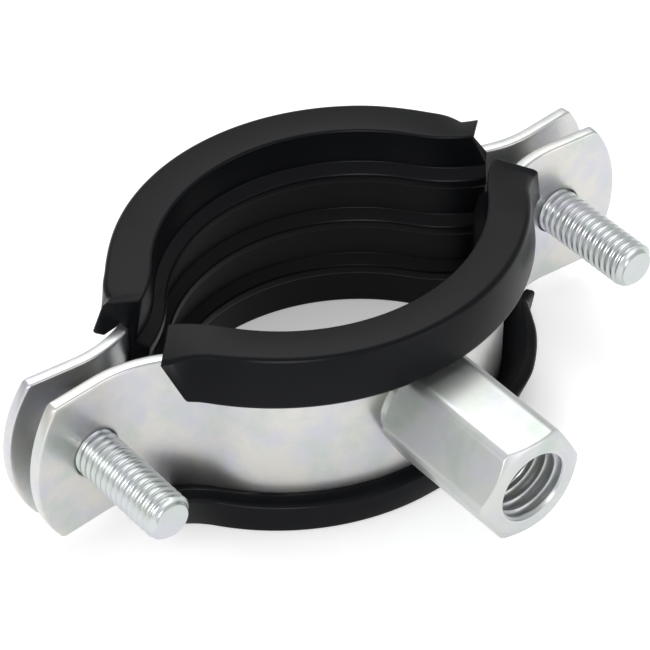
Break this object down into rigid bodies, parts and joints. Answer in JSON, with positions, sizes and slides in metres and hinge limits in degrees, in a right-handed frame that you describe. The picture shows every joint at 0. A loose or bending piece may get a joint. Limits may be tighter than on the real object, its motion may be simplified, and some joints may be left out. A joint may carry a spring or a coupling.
{
  "type": "rubber lined pipe clamp",
  "caption": "Two-piece zinc-plated steel pipe clamp with ribbed rubber linings, side clamp screws and a hexagonal boss nut for a threaded rod.",
  "frame": {"origin": "on the pipe axis, midway along the lining and midway between the two halves as modelled", "axes": "Z runs along the pipe, X runs through both clamp screws, and the boss nut points along -Y"},
  "size_m": [0.0874, 0.0614, 0.027],
  "materials": {
    "zinc_strip": "bright zinc plate on rolled strip, softly mirroring",
    "zinc_nut": "bright zinc plate on drawn hexagon bar",
    "zinc_screw": "bright zinc plate on rolled threads",
    "rubber_lining": "matt black extruded synthetic rubber"
  },
  "bodies": {
    "boss_half": {"front_band": "zinc_strip", "front_lining": "rubber_lining", "boss_nut": "zinc_nut"},
    "loose_half": {"back_band": "zinc_strip", "back_lining": "rubber_lining"},
    "left_screw_body": {"left_screw": "zinc_screw"},
    "right_screw_body": {"right_screw": "zinc_screw"}
  },
  "joints": [
    {"name": "clamp_slide", "type": "slide", "parent": "boss_half", "child": "loose_half", "axis": [0, -1, 0], "range_m": [-0.014, 0.0015]},
    {"name": "left_screw_turn", "type": "hinge", "parent": "loose_half", "child": "left_screw_body", "pos_m": [-0.03495, 0, 0], "axis": [0, -1, 0], "range_deg": [-5045, 545]},
    {"name": "right_screw_turn", "type": "hinge", "parent": "loose_half", "child": "right_screw_body", "pos_m": [0.03495, 0, 0], "axis": [0, -1, 0], "range_deg": [-5045, 545]}
  ],
  "couplings": [
    {"joint": "left_screw_turn", "follows": "clamp_slide", "rad_per_m": 6283.2},
    {"joint": "right_screw_turn", "follows": "clamp_slide", "rad_per_m": 6283.2}
  ]
}
